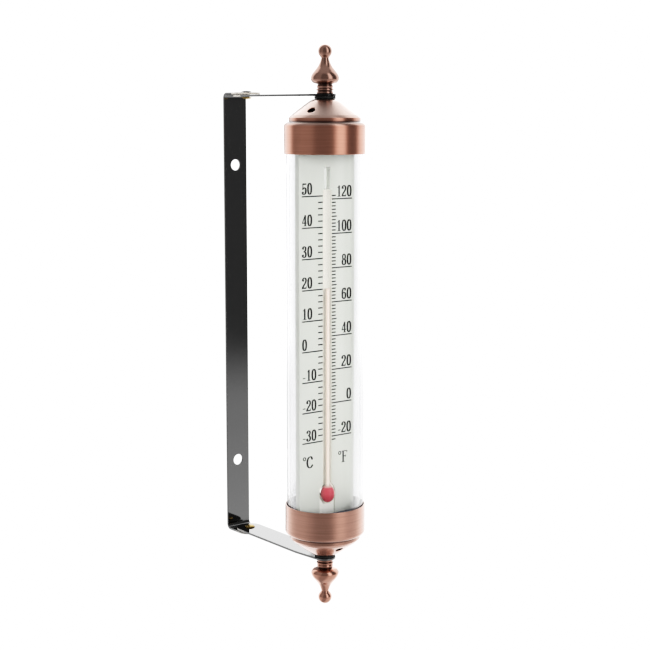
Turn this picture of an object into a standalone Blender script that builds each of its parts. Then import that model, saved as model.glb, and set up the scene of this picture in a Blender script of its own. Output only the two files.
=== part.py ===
"""Tube thermometer on a swinging wall bracket.

A clear tube with a flat scale plate, a glass stem and red spirit stands between two copper caps.
A screw runs out of each cap through a washer and a flat arm into a turned finial, and each arm
swings on a rivet in a bent strip bracket that is screwed to the wall.

Frame: metres, +Z up. The origin is the centre of the wall plate's back face, the wall is at y = 0
and the thermometer stands out from it along -Y. Both ends are alike: a height that is measured
outwards from the rim of a cap becomes +Z at the upper end and -Z at the lower end.
"""
import math

import bmesh
import bpy
from mathutils import Matrix, Vector

# Driving dimensions, in metres.
TUBE_VISIBLE = 0.1670        # length of clear tube between the two cap rims
SHEET = 0.0010               # thickness of the steel strip of the bracket and the arms
STRIP_WIDTH = 0.0134         # width of that strip
RIVET_FROM_PLATE = 0.0100    # wall plate's front face to the rivets' axis
ARM_REACH = 0.0635           # rivets' axis to the tube's axis
SCREW_SPACING = 0.1524       # between the two wall screw holes
SCREW_HOLE_RADIUS = 0.0028
BEND_RADIUS = 0.0028         # outside of the bracket's bends

# Clearances between neighbours.
FACE_GAP = 0.0002            # between flat faces that rest on each other
FIT_GAP = 0.0003             # round a shank, and between a round piece and its seat

# Caps: heights are measured outwards from the rim.
CAP_RADIUS = 0.01915
CAP_WALL = 0.0006
CAP_HEIGHT = 0.0252
CAP_TOP_WALL = 0.0007        # thicker flat land that the screw's head bears on
NECK_RADIUS = 0.0169
BAND_STRAIGHT = 0.0127       # length of the cylindrical band
SHOULDER_ROUND = 0.0020      # radius of the band's rounded end
VENT_RADIUS = 0.0019
VENT_FROM_AXIS = 0.0130      # where a vent's centre is on the cone
VENT_FROM_RIM = 0.0200
CONE_SLOPE = 37              # degrees between the cone and the horizontal

# Tube and what is inside it.
TUBE_RADIUS = 0.0183
TUBE_WALL = 0.0013
TUBE_IN_CAP = 0.0122
PLUG_START = 0.0018
PLUG_END = 0.0105
PLUG_STEP = 0.0050           # where the plug's front half starts, behind the rim
PLATE_HALF_WIDTH = 0.0164
PLATE_THICKNESS = 0.0034
PLATE_CORNER = 0.0004
PLATE_IN_CAP = 0.0065
SEAL_THICKNESS = 0.0010
SEAL_INNER_RADIUS = 0.0172
SPIRIT_RADIUS = 0.0005
STEM_RADIUS = 0.0021
STEM_FORWARD = 0.0020        # stem's axis in front of the tube's axis
STEM_TOP_BELOW_RIM = 0.0167
BULB_GLASS = 0.0006          # thickness of the bulb's glass
BULB_ABOVE_RIM = 0.0050      # bulb's centre above the lower rim
BULB_SIZE = (0.0034, 0.0043)     # radius and half height of the red spirit in the bulb
RECESS_HALF_WIDTH = 0.0046   # shallow recess in the plate's front, round the bulb and below it
RECESS_DEPTH = 0.0008
RECESS_RISE = 0.0010         # centre of the recess's round end above the bulb's centre
SLOT_TOP_BELOW_RIM = 0.0061
SLOT_LENGTH = 0.0102
SLOT_WIDTH = 0.0034
SLOT_DEPTH = 0.0024          # leaves a thin web of the plate behind the slot

# Scale: the spirit stands at 20 degrees Celsius.
TOP_MARK_C = 50
TOP_MARK_BELOW_RIM = 0.0194
PER_DEGREE_C = 0.001456
READING_C = 20

# Stack of pieces beyond each cap, outwards from the rim.
WASHER_START = CAP_HEIGHT + FACE_GAP
WASHER_END = 0.0263
ARM_START = WASHER_END + FACE_GAP
ARM_END = ARM_START + SHEET
FLANGE_END = ARM_END + FACE_GAP + SHEET
FINIAL_START = ARM_END + FACE_GAP
FINIAL_HEIGHT = 0.0225
BALL_RADIUS = 0.0033
WASHER_RADIUS = 0.0049
NOSE_RADIUS = 0.0051         # rounded end of an arm under the finial
NOSE_TAPER = 0.0150          # length over which the arm narrows to it
SCREW_RADIUS = 0.0015
SCREW_HEAD = (0.0034, 0.0022)    # radius and height
SCREW_IN_FINIAL = 0.0070
RIVET_RADIUS = 0.0016
RIVET_HEAD = (0.0026, 0.0009)    # radius and height

RIM_Z = TUBE_VISIBLE / 2
RIVET_Y = -(SHEET + RIVET_FROM_PLATE)
TUBE_Y = RIVET_Y - ARM_REACH
HALF_STRIP = STRIP_WIDTH / 2
ENDS = {"upper": 1, "lower": -1}

# Directions from the tube's axis to the vent hole that faces the front, one per cap.
VENT_DIRECTION = {"upper": math.radians(203.5), "lower": math.radians(263.5)}

# Facets round a piece, by how large it is.
FINE = 36
MEDIUM = 24
COARSE = 20

CUT_MARGIN = 0.0020          # how far a cutter runs past the faces that it cuts


def make_material(name, colour, roughness, metallic=0.0, alpha=1.0):
    """A Principled material with a plain colour."""
    material = bpy.data.materials.new(name)
    material.use_nodes = True
    shader = material.node_tree.nodes["Principled BSDF"]
    shader.inputs["Base Color"].default_value = (*colour, 1.0)
    shader.inputs["Roughness"].default_value = roughness
    shader.inputs["Metallic"].default_value = metallic
    shader.inputs["Alpha"].default_value = alpha
    material.diffuse_color = (*colour, alpha)
    return material


def copper(name):
    return make_material(name, (0.42, 0.17, 0.09), 0.32, metallic=1.0)


def black_paint(name):
    return make_material(name, (0.012, 0.011, 0.012), 0.22)


def steel(name):
    return make_material(name, (0.45, 0.45, 0.46), 0.35, metallic=1.0)


def arc(centre, radius, start, end, steps):
    """Points on an arc in the plane of the pair of coordinates; angles in degrees."""
    points = []
    for i in range(steps + 1):
        angle = math.radians(start + (end - start) * i / steps)
        points.append((centre[0] + radius * math.cos(angle), centre[1] + radius * math.sin(angle)))
    return points


def smooth(points, per_span):
    """A Catmull-Rom curve through the points, with per_span steps between neighbours."""
    padded = [points[0]] + list(points) + [points[-1]]
    curve = []
    for i in range(1, len(padded) - 2):
        before, start, end, after = padded[i - 1:i + 3]
        for step in range(per_span):
            t = step / per_span
            curve.append(tuple(
                0.5 * (2 * s + (e - b) * t + (2 * b - 5 * s + 4 * e - a) * t * t
                       + (3 * s - b - 3 * e + a) * t ** 3)
                for b, s, e, a in zip(before, start, end, after)))
    curve.append(tuple(points[-1]))
    return curve


def finish(name, bm, material, location=(0, 0, 0)):
    """Turns a bmesh into a named object with outward normals, smooth but for its edges."""
    bmesh.ops.remove_doubles(bm, verts=bm.verts, dist=1e-7)
    bmesh.ops.recalc_face_normals(bm, faces=bm.faces)
    mesh = bpy.data.meshes.new(name)
    bm.to_mesh(mesh)
    bm.free()
    mesh.materials.append(material)
    mesh.shade_smooth()
    mesh.set_sharp_from_angle(angle=math.radians(35))
    piece = bpy.data.objects.new(name, mesh)
    piece.location = location
    bpy.context.scene.collection.objects.link(piece)
    return piece


def turned(name, profile, material, pivot_y=TUBE_Y, forward=0.0, steps=FINE, closed=True):
    """Spins a section of (radius, z) points about a vertical axis.

    A closed section is a ring; an open one starts and ends on the axis. The object's origin is at
    y = pivot_y, and the axis of the spin may stand some way forward of it.
    """
    bm = bmesh.new()
    verts = [bm.verts.new((radius, -forward, z)) for radius, z in profile]
    edges = [bm.edges.new(pair) for pair in zip(verts, verts[1:])]
    if closed:
        edges.append(bm.edges.new((verts[-1], verts[0])))
    bmesh.ops.spin(bm, geom=verts + edges, cent=(0, -forward, 0), axis=(0, 0, 1), dvec=(0, 0, 0),
                   angle=2 * math.pi, steps=steps, use_merge=True, use_duplicate=False)
    return finish(name, bm, material, (0.0, pivot_y, 0.0))


def prism(name, outline, low, high, material, location=(0, 0, 0), holes=()):
    """Extrudes an outline of (x, y) points from z = low to z = high, and cuts round holes in it."""
    bm = bmesh.new()
    face = bm.faces.new([bm.verts.new((x, y, low)) for x, y in outline])
    extruded = bmesh.ops.extrude_face_region(bm, geom=[face])["geom"]
    top = [item for item in extruded if isinstance(item, bmesh.types.BMVert)]
    bmesh.ops.translate(bm, verts=top, vec=(0, 0, high - low))
    piece = finish(name, bm, material, location)
    for centre, radius in holes:
        cut(piece, cylinder(f"{name}_bore", radius, (centre[0], centre[1], (low + high) / 2),
                            high - low + 2 * CUT_MARGIN, location=location))
    return piece


def cylinder(name, radius, centre, depth, direction=(0, 0, 1), location=(0, 0, 0)):
    """A cylinder cutter, centred on a point and lying along a direction."""
    bm = bmesh.new()
    bmesh.ops.create_cone(bm, cap_ends=True, segments=COARSE, radius1=radius, radius2=radius,
                          depth=depth)
    turn = Vector(direction).to_track_quat("Z", "Y").to_matrix().to_4x4()
    bmesh.ops.transform(bm, matrix=Matrix.Translation(centre) @ turn, verts=bm.verts)
    return as_cutter(bm, name, location)


def block(name, low, high, location=(0, 0, 0)):
    """A box cutter between two corners."""
    bm = bmesh.new()
    bmesh.ops.create_cube(bm, size=1.0)
    size = [h - l for l, h in zip(low, high)]
    middle = [(h + l) / 2 for l, h in zip(low, high)]
    bmesh.ops.scale(bm, vec=size, verts=bm.verts)
    bmesh.ops.translate(bm, vec=middle, verts=bm.verts)
    return as_cutter(bm, name, location)


def as_cutter(bm, name, location):
    mesh = bpy.data.meshes.new(name)
    bm.to_mesh(mesh)
    bm.free()
    cutter = bpy.data.objects.new(name, mesh)
    cutter.location = location
    cutter.hide_render = True
    cutter.display_type = "WIRE"
    bpy.context.scene.collection.objects.link(cutter)
    return cutter


def cut(piece, cutter, operation="DIFFERENCE"):
    modifier = piece.modifiers.new(cutter.name, "BOOLEAN")
    modifier.operation = operation
    modifier.solver = "EXACT"
    modifier.object = cutter


def outwards(side, profile):
    """Turns (radius, distance from the rim) points into (radius, z) points at one end."""
    return [(radius, side * (RIM_Z + distance)) for radius, distance in profile]


def wall_bracket():
    """Bent strip: a tall plate on the wall with a short flange forward at each end."""
    half_height = RIM_Z + FLANGE_END
    front = RIVET_Y - HALF_STRIP
    inner = BEND_RADIUS - SHEET
    section = [(front, -half_height)]
    section += arc((-BEND_RADIUS, -half_height + BEND_RADIUS), BEND_RADIUS, 270, 360, 6)
    section += arc((-BEND_RADIUS, half_height - BEND_RADIUS), BEND_RADIUS, 0, 90, 6)
    section += [(front, half_height), (front, half_height - SHEET)]
    section += arc((-BEND_RADIUS, half_height - BEND_RADIUS), inner, 90, 0, 6)
    section += arc((-BEND_RADIUS, -half_height + BEND_RADIUS), inner, 0, -90, 6)
    section += [(front, -half_height + SHEET)]
    bm = bmesh.new()
    face = bm.faces.new([bm.verts.new((-HALF_STRIP, y, z)) for y, z in section])
    extruded = bmesh.ops.extrude_face_region(bm, geom=[face])["geom"]
    moved = [item for item in extruded if isinstance(item, bmesh.types.BMVert)]
    bmesh.ops.translate(bm, verts=moved, vec=(STRIP_WIDTH, 0, 0))
    bracket = finish("wall_bracket", bm, black_paint("bracket_black"))

    beside = HALF_STRIP + CUT_MARGIN
    kept = half_height + CUT_MARGIN
    plan = [(beside, RIVET_Y), (beside, CUT_MARGIN), (-beside, CUT_MARGIN), (-beside, RIVET_Y)]
    plan += arc((0, RIVET_Y), HALF_STRIP, 180, 360, 16)
    rounding = prism("flange_rounding", plan, -kept, kept, black_paint("guide"))
    rounding.hide_render = True
    rounding.display_type = "WIRE"
    cut(bracket, rounding, "INTERSECT")
    for label, side in ENDS.items():
        hole = (0, -SHEET / 2, side * SCREW_SPACING / 2)
        cut(bracket, cylinder(f"{label}_screw_bore", SCREW_HOLE_RADIUS, hole,
                              SHEET + 2 * CUT_MARGIN, direction=(0, 1, 0)))
    cut(bracket, cylinder("rivet_bore", RIVET_RADIUS + FIT_GAP, (0, RIVET_Y, 0), 2 * kept))


def rivet(label, side):
    """Domed head inside, shank through the arm and the flange, flatter head outside."""
    radius, height = RIVET_HEAD
    inner_face = ARM_START - FACE_GAP
    outer_face = FLANGE_END + FACE_GAP
    profile = [(0, inner_face - height), (radius * 0.55, inner_face - height * 0.85)]
    profile += [(radius * 0.9, inner_face - height * 0.45), (radius, inner_face)]
    profile += [(RIVET_RADIUS, inner_face), (RIVET_RADIUS, outer_face), (radius, outer_face)]
    profile += [(radius * 0.85, outer_face + height * 0.5), (radius * 0.4, outer_face + height * 0.7)]
    profile += [(0, outer_face + height * 0.7)]
    metal = make_material(f"{label}_rivet_metal", (0.10, 0.07, 0.035), 0.3, metallic=1.0)
    turned(f"{label}_rivet", outwards(side, profile), metal, RIVET_Y, steps=COARSE, closed=False)


def arm(label, side):
    """Flat strip: round about the rivet, and narrowing to a rounded nose at the tube's axis.

    Its origin is on the rivet's axis, which is the axis that it swings about.
    """
    shoulder_y = -ARM_REACH + NOSE_TAPER
    to_shoulder = math.hypot(HALF_STRIP, NOSE_TAPER)
    tangent = math.degrees(math.atan2(NOSE_TAPER, HALF_STRIP) - math.acos(NOSE_RADIUS / to_shoulder))
    outline = arc((0, 0), HALF_STRIP, 0, 180, 16)
    outline += [(-HALF_STRIP, shoulder_y)]
    outline += arc((0, -ARM_REACH), NOSE_RADIUS, 180 - tangent, 360 + tangent, 18)
    outline += [(HALF_STRIP, shoulder_y)]
    low, high = sorted((side * (RIM_Z + ARM_START), side * (RIM_Z + ARM_END)))
    holes = [((0, 0), RIVET_RADIUS + FIT_GAP), ((0, -ARM_REACH), SCREW_RADIUS + FIT_GAP)]
    prism(f"{label}_arm", outline, low, high, black_paint(f"{label}_arm_black"),
          (0, RIVET_Y, 0), holes)


def cap(label, side):
    """Pressed shell: a straight band, a rounded shoulder, a short neck and a shallow cone.

    The cone is slightly dished, and the points are (radius, distance from the rim).
    """
    bore = SCREW_RADIUS + FIT_GAP
    inside = CAP_RADIUS - CAP_WALL
    land = CAP_HEIGHT - CAP_TOP_WALL
    edge = 0.0002
    outer = [(inside, edge), (inside + edge, 0.0), (CAP_RADIUS - edge, 0.0)]
    outer += [(CAP_RADIUS, edge), (CAP_RADIUS, BAND_STRAIGHT)]
    outer += arc((CAP_RADIUS - SHOULDER_ROUND, BAND_STRAIGHT), SHOULDER_ROUND, 20, 90, 4)
    outer += [(NECK_RADIUS, 0.0148), (NECK_RADIUS, 0.0164)]
    outer += [(0.0167, 0.0168), (0.0163, 0.0173), (0.0154, 0.0182), (0.0130, 0.0200)]
    outer += [(0.0104, 0.0219), (0.0079, 0.0237), (0.0065, 0.02455), (0.0055, 0.02495)]
    outer += [(0.0046, 0.02513), (0.0040, CAP_HEIGHT), (bore, CAP_HEIGHT)]
    inner = [(bore, land), (0.0040, land), (0.0052, 0.0243)]
    inner += [(0.0075, 0.0230), (0.0125, 0.0194), (0.0149, 0.0177), (NECK_RADIUS - CAP_WALL, 0.0163)]
    inner += [(NECK_RADIUS - CAP_WALL, 0.0141), (0.0174, 0.0140), (0.0181, 0.0137)]
    inner += [(inside, 0.0129)]
    body = turned(f"{label}_cap", outwards(side, outer + inner), copper(f"{label}_cap_copper"))
    slope = math.radians(CONE_SLOPE)
    for number in (0, 1):
        angle = VENT_DIRECTION[label] + number * math.pi
        across = Vector((math.cos(angle), math.sin(angle), 0))
        normal = across * math.sin(slope) + Vector((0, 0, side * math.cos(slope)))
        centre = across * VENT_FROM_AXIS + Vector((0, 0, side * (RIM_Z + VENT_FROM_RIM)))
        cut(body, cylinder(f"{label}_vent_{number}", VENT_RADIUS, centre, 2 * CUT_MARGIN, normal,
                           (0, TUBE_Y, 0)))


def finial(label, side):
    """Turned nut: a stub, a broad bulb, a long taper and a ball, with a blind bore for the screw."""
    bulb = smooth([(0.0037, 0.0042), (0.0056, 0.0050), (0.0066, 0.0063), (0.0067, 0.0076),
                   (0.0061, 0.0091), (0.0049, 0.0107), (0.0035, 0.0124), (0.0025, 0.0141),
                   (0.0019, 0.0158)], 2)
    ball = arc((0, FINIAL_HEIGHT - BALL_RADIUS), BALL_RADIUS, -49, 90, 8)
    profile = [(0.0035, 0.0), (0.0039, 0.0004), (0.0039, 0.0009), (0.0041, 0.0013)]
    profile += [(0.0041, 0.0020), (0.0038, 0.0024), (0.0039, 0.0036), (0.0036, 0.0040)]
    profile += bulb + ball[:-1] + [(0, FINIAL_HEIGHT)]
    bore = SCREW_RADIUS + FIT_GAP
    depth = SCREW_IN_FINIAL + 2 * FIT_GAP
    drilled = [(0, depth + 2 * FIT_GAP), (bore, depth), (bore, 0.0)]
    section = [(radius, FINIAL_START + height) for radius, height in drilled + profile]
    turned(f"{label}_finial", outwards(side, section), copper(f"{label}_finial_copper"),
           steps=MEDIUM, closed=False)


def washer(label, side):
    """Flat washer between the cap and the arm, with its edges just broken."""
    bore = SCREW_RADIUS + FIT_GAP
    edge = 0.0001
    profile = [(bore, WASHER_START), (WASHER_RADIUS - edge, WASHER_START)]
    profile += [(WASHER_RADIUS, WASHER_START + edge), (WASHER_RADIUS, WASHER_END - edge)]
    profile += [(WASHER_RADIUS - edge, WASHER_END), (bore, WASHER_END)]
    rubber = make_material(f"{label}_washer_rubber", (0.01, 0.01, 0.011), 0.55)
    turned(f"{label}_washer", outwards(side, profile), rubber, steps=MEDIUM)


def cap_screw(label, side):
    """Pan-head screw: its head is inside the cap and its shank ends in the finial."""
    radius, height = SCREW_HEAD
    seat = CAP_HEIGHT - CAP_TOP_WALL - FIT_GAP
    tip = FINIAL_START + SCREW_IN_FINIAL
    profile = [(0, seat - height), (radius * 0.7, seat - height)]
    profile += [(radius * 0.93, seat - height * 0.75), (radius, seat - height * 0.4), (radius, seat)]
    profile += [(SCREW_RADIUS, seat), (SCREW_RADIUS, tip - 0.0005), (SCREW_RADIUS - 0.0004, tip)]
    profile += [(0, tip)]
    turned(f"{label}_screw", outwards(side, profile), steel(f"{label}_screw_steel"),
           steps=MEDIUM, closed=False)


def seal(label, side):
    """Flat rubber ring between the end of the tube and the cap's shoulder."""
    low = TUBE_IN_CAP + FACE_GAP
    high = low + SEAL_THICKNESS
    outside = TUBE_RADIUS - FACE_GAP
    profile = [(SEAL_INNER_RADIUS, low), (outside, low), (outside, high), (SEAL_INNER_RADIUS, high)]
    rubber = make_material(f"{label}_seal_rubber", (0.015, 0.015, 0.016), 0.6)
    turned(f"{label}_seal", outwards(side, profile), rubber)


def plug(label, side):
    """Moulded disc inside each end of the tube, slotted for the end of the scale plate.

    Its front half starts lower down, so that the plate's face is clear as far as the rim.
    """
    radius = TUBE_RADIUS - TUBE_WALL - FIT_GAP
    profile = [(0, PLUG_START), (radius - 0.0004, PLUG_START), (radius, PLUG_START + 0.0004)]
    profile += [(radius, PLUG_END), (0, PLUG_END)]
    plastic = make_material(f"{label}_plug_plastic", (0.05, 0.055, 0.07), 0.5)
    disc = turned(f"{label}_plug", outwards(side, profile), plastic, closed=False)
    half_slot = PLATE_THICKNESS / 2 + FIT_GAP
    slot_end = RIM_Z + PLATE_IN_CAP + FIT_GAP
    low, high = sorted((side * RIM_Z, side * slot_end))
    cut(disc, block(f"{label}_plug_slot", (-CAP_RADIUS, -half_slot, low),
                    (CAP_RADIUS, half_slot, high), (0, TUBE_Y, 0)))
    low, high = sorted((side * RIM_Z, side * (RIM_Z + PLUG_STEP)))
    cut(disc, block(f"{label}_plug_front", (-CAP_RADIUS, -CAP_RADIUS, low),
                    (CAP_RADIUS, 0, high), (0, TUBE_Y, 0)))


def clear_tube():
    """Clear plastic tube, open at its ends, which are inside the caps."""
    end = RIM_Z + TUBE_IN_CAP
    inner = TUBE_RADIUS - TUBE_WALL
    plastic = make_material("tube_clear", (0.93, 0.95, 0.96), 0.05, alpha=0.25)
    turned("clear_tube", [(inner, end), (TUBE_RADIUS, end), (TUBE_RADIUS, -end), (inner, -end)], plastic)


def scale_plate():
    """White translucent plate: a groove for the stem, a window and recess for the bulb, a top slot."""
    end = RIM_Z + PLATE_IN_CAP
    half_thick = PLATE_THICKNESS / 2
    outline = []
    for x, y, start in ((1, 1, 0), (-1, 1, 90), (-1, -1, 180), (1, -1, 270)):
        centre = (x * (PLATE_HALF_WIDTH - PLATE_CORNER), y * (half_thick - PLATE_CORNER))
        outline += arc(centre, PLATE_CORNER, start, start + 90, 3)
    plastic = make_material("scale_plate_white", (0.80, 0.82, 0.78), 0.35)
    plate = prism("scale_plate", outline, -end, end, plastic, (0, TUBE_Y, 0))
    axis = (0, TUBE_Y, 0)
    groove_top = RIM_Z - STEM_TOP_BELOW_RIM + FIT_GAP
    cut(plate, cylinder("stem_groove", STEM_RADIUS + FIT_GAP,
                        (0, -STEM_FORWARD, (groove_top - RIM_Z) / 2), groove_top + RIM_Z, location=axis))
    bulb_centre = -RIM_Z + BULB_ABOVE_RIM
    across, up = (size + BULB_GLASS + FIT_GAP for size in BULB_SIZE)
    window = [(x * across, bulb_centre + z * up) for x, z in arc((0, 0), 1, 0, 345, 23)]
    cut(plate, upright("bulb_window", window, axis))
    recess = [(-RECESS_HALF_WIDTH, -end - CUT_MARGIN), (RECESS_HALF_WIDTH, -end - CUT_MARGIN)]
    recess += arc((0, bulb_centre + RECESS_RISE), RECESS_HALF_WIDTH, 0, 180, 12)
    cut(plate, upright("bulb_recess", recess, axis, RECESS_DEPTH))
    slot_top = RIM_Z - SLOT_TOP_BELOW_RIM
    half_slot = SLOT_WIDTH / 2
    slot = arc((0, slot_top - half_slot), half_slot, 0, 180, 8)
    slot += arc((0, slot_top - SLOT_LENGTH + half_slot), half_slot, 180, 360, 8)
    cut(plate, upright("top_slot", slot, axis, SLOT_DEPTH))


def upright(name, outline, location, depth=PLATE_THICKNESS + CUT_MARGIN):
    """A cutter with an outline of (x, z) points, going into the scale plate from its front."""
    front = PLATE_THICKNESS / 2 + CUT_MARGIN
    bm = bmesh.new()
    face = bm.faces.new([bm.verts.new((x, -front, z)) for x, z in outline])
    extruded = bmesh.ops.extrude_face_region(bm, geom=[face])["geom"]
    moved = [item for item in extruded if isinstance(item, bmesh.types.BMVert)]
    bmesh.ops.translate(bm, verts=moved, vec=(0, CUT_MARGIN + depth, 0))
    bmesh.ops.recalc_face_normals(bm, faces=bm.faces)
    return as_cutter(bm, name, location)


def bulb_curve(radius, half_height, neck):
    """(radius, z) points up an ellipsoid bulb from its bottom pole to where it meets the neck."""
    steps = 9
    centre = -RIM_Z + BULB_ABOVE_RIM
    last = math.degrees(math.acos(neck / radius))
    points = []
    for i in range(steps + 1):
        angle = math.radians(-90 + (90 + last) * i / steps)
        points.append((radius * math.cos(angle), centre + half_height * math.sin(angle)))
    points[0] = (0, centre - half_height)
    return points


def glass_stem():
    """Stem and bulb in one piece of glass, with the bore and the bulb's hollow inside it.

    The bore is left open at its top, so that the glass is one closed surface.
    """
    top = RIM_Z - STEM_TOP_BELOW_RIM
    radius, half_height = BULB_SIZE
    bore = SPIRIT_RADIUS + FIT_GAP
    rounding = 0.0006
    profile = bulb_curve(radius + BULB_GLASS, half_height + BULB_GLASS, STEM_RADIUS)
    profile += [(STEM_RADIUS, top - rounding), (STEM_RADIUS - rounding, top), (bore, top)]
    profile += bulb_curve(radius + FIT_GAP, half_height + FIT_GAP, bore)[::-1]
    glass = make_material("stem_glass", (0.9, 0.93, 0.92), 0.03, alpha=0.35)
    turned("glass_stem", profile, glass, forward=STEM_FORWARD, steps=COARSE, closed=False)


def spirit_fill():
    """Red spirit: the bulb's filling and the thin column up to the reading."""
    level = RIM_Z - TOP_MARK_BELOW_RIM - (TOP_MARK_C - READING_C) * PER_DEGREE_C
    profile = bulb_curve(*BULB_SIZE, SPIRIT_RADIUS) + [(SPIRIT_RADIUS, level), (0, level)]
    red = make_material("spirit_red", (0.5, 0.01, 0.02), 0.15)
    turned("spirit_fill", profile, red, forward=STEM_FORWARD, steps=COARSE, closed=False)


def main():
    for item in list(bpy.data.objects):
        bpy.data.objects.remove(item, do_unlink=True)
    wall_bracket()
    for label, side in ENDS.items():
        rivet(label, side)
        arm(label, side)
        cap(label, side)
        finial(label, side)
        washer(label, side)
        cap_screw(label, side)
        seal(label, side)
        plug(label, side)
    clear_tube()
    scale_plate()
    glass_stem()
    spirit_fill()


main()
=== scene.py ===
"""Looks of the tube thermometer on its wall bracket.

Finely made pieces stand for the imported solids: the painted strip bracket and arms, the brushed copper
caps and finials, the clear tube, and the printed scale with its glass stem and red spirit. Everything
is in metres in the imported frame: +Z is up, and the thermometer stands out from the wall along -Y.
"""
import math

import bmesh
import bpy
import numpy as np
from mathutils import Matrix, Vector


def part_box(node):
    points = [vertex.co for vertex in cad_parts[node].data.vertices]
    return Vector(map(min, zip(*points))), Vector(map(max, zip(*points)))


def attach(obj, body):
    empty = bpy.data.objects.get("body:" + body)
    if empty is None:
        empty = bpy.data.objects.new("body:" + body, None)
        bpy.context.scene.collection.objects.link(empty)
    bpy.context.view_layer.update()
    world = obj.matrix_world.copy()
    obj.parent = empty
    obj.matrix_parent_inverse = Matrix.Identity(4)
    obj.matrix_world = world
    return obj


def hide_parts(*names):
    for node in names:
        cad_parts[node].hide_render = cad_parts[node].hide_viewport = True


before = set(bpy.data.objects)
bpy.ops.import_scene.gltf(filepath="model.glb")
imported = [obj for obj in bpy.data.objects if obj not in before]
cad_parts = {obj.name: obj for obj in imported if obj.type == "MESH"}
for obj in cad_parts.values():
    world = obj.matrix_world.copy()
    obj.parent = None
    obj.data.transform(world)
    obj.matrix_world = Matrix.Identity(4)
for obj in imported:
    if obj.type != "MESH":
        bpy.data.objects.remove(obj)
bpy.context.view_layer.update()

# Places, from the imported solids.
TUBE_LOW, TUBE_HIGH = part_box("clear_tube")
TUBE_Y = (TUBE_LOW.y + TUBE_HIGH.y) / 2
TUBE_RADIUS = (TUBE_HIGH.x - TUBE_LOW.x) / 2
TUBE_END = TUBE_HIGH.z
RIM_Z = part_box("upper_cap")[0].z
RIVET_Y = sum(corner.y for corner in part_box("upper_rivet")) / 2
STRIP_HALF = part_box("wall_bracket")[1].x
BRACKET_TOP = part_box("wall_bracket")[1].z
ARM_LOW, ARM_HIGH = (corner.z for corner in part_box("upper_arm"))
FINIAL_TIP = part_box("upper_finial")[1].z
PLATE_LOW, PLATE_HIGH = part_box("scale_plate")
PLATE_FRONT = PLATE_LOW.y
PLATE_THICKNESS = PLATE_HIGH.y - PLATE_LOW.y

# Sizes, in metres.
SHEET = 0.0010
BEND_RADIUS = 0.0028
SCREW_HOLE_Z = 0.0762
SCREW_HOLE_RADIUS = 0.0028
PIN_HOLE_RADIUS = 0.0019
SHANK_HOLE_RADIUS = 0.0018
NOSE_RADIUS = 0.0051
NOSE_TAPER = 0.0150
NECK_START = 0.0147
RUNNING_GAP = 0.00003
SHEARED_EDGE = 0.00016
THROUGH = 0.0040
TUBE_WALL = 0.0013
STEM_Y = TUBE_Y - 0.0020
STEM_RADIUS = 0.0021
ENDS = {"upper": 1, "lower": -1}
VENT_DIRECTION = {"upper": 203.5, "lower": 263.5}
VENT_RADIUS = 0.0019
BALL_RADIUS = 0.0033
BULB_RADIUS = 0.0034
BULB_HALF_HEIGHT = 0.0043
BULB_GLASS = 0.0006
BULB_Z = 0.0050 - RIM_Z
STEM_TOP = RIM_Z - 0.0167
GROOVE_RADIUS = STEM_RADIUS + 0.0003
GROOVE_TOP = RIM_Z - 0.0164
RECESS_RADIUS = 0.0046
RECESS_DEPTH = 0.0008
RECESS_Z = BULB_Z + 0.0010
SLOT_TOP = RIM_Z - 0.0061
SLOT_LENGTH = 0.0102
SLOT_HALF_WIDTH = 0.0017
SLOT_DEPTH = 0.0024


# ---------------------------------------------------------------- mesh helpers

def add_object(name, data, location=(0, 0, 0)):
    added = bpy.data.objects.new(name, data)
    added.location = location
    bpy.context.scene.collection.objects.link(added)
    return added


def from_bmesh(name, bm, location=(0, 0, 0), sharp=30):
    """Turns a bmesh into an object, smooth but for edges sharper than an angle in degrees."""
    bmesh.ops.remove_doubles(bm, verts=bm.verts, dist=1e-8)
    bmesh.ops.recalc_face_normals(bm, faces=bm.faces)
    mesh = bpy.data.meshes.new(name)
    bm.to_mesh(mesh)
    bm.free()
    mesh.shade_smooth()
    mesh.set_sharp_from_angle(angle=math.radians(sharp))
    return add_object(name, mesh, location)


def arc(centre, radius, start, end, steps):
    """Points on an arc in a plane; angles in degrees."""
    angles = [math.radians(start + (end - start) * i / steps) for i in range(steps + 1)]
    return [(centre[0] + radius * math.cos(a), centre[1] + radius * math.sin(a)) for a in angles]


def smooth_curve(points, per_span):
    """A Catmull-Rom curve through the points."""
    padded = [points[0]] + list(points) + [points[-1]]
    curve = []
    for i in range(1, len(padded) - 2):
        before, start, end, after = (np.array(p) for p in padded[i - 1:i + 3])
        for step in range(per_span):
            t = step / per_span
            curve.append(tuple(0.5 * (2 * start + (end - before) * t
                                      + (2 * before - 5 * start + 4 * end - after) * t * t
                                      + (3 * start - before - 3 * end + after) * t ** 3)))
    return curve + [tuple(points[-1])]


def rounded(points, radius, closed=True, steps=3, least=20):
    """The polyline with every corner of more than `least` degrees rounded off."""
    result = []
    count = len(points)
    for i, point in enumerate(points):
        if not closed and i in (0, count - 1):
            result.append(point)
            continue
        here = np.array(point)
        back = np.array(points[i - 1]) - here
        ahead = np.array(points[(i + 1) % count]) - here
        back_length, ahead_length = np.linalg.norm(back), np.linalg.norm(ahead)
        cosine = float(np.clip(back @ ahead / (back_length * ahead_length), -1, 1))
        turn = 180 - math.degrees(math.acos(cosine))
        if turn < least:
            result.append(point)
            continue
        reach = min(radius * math.tan(math.radians(turn / 2)), 0.45 * back_length, 0.45 * ahead_length)
        start, end = here + back / back_length * reach, here + ahead / ahead_length * reach
        for step in range(steps + 1):
            t = step / steps
            result.append(tuple((1 - t) ** 2 * start + 2 * t * (1 - t) * here + t * t * end))
    return result


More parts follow.
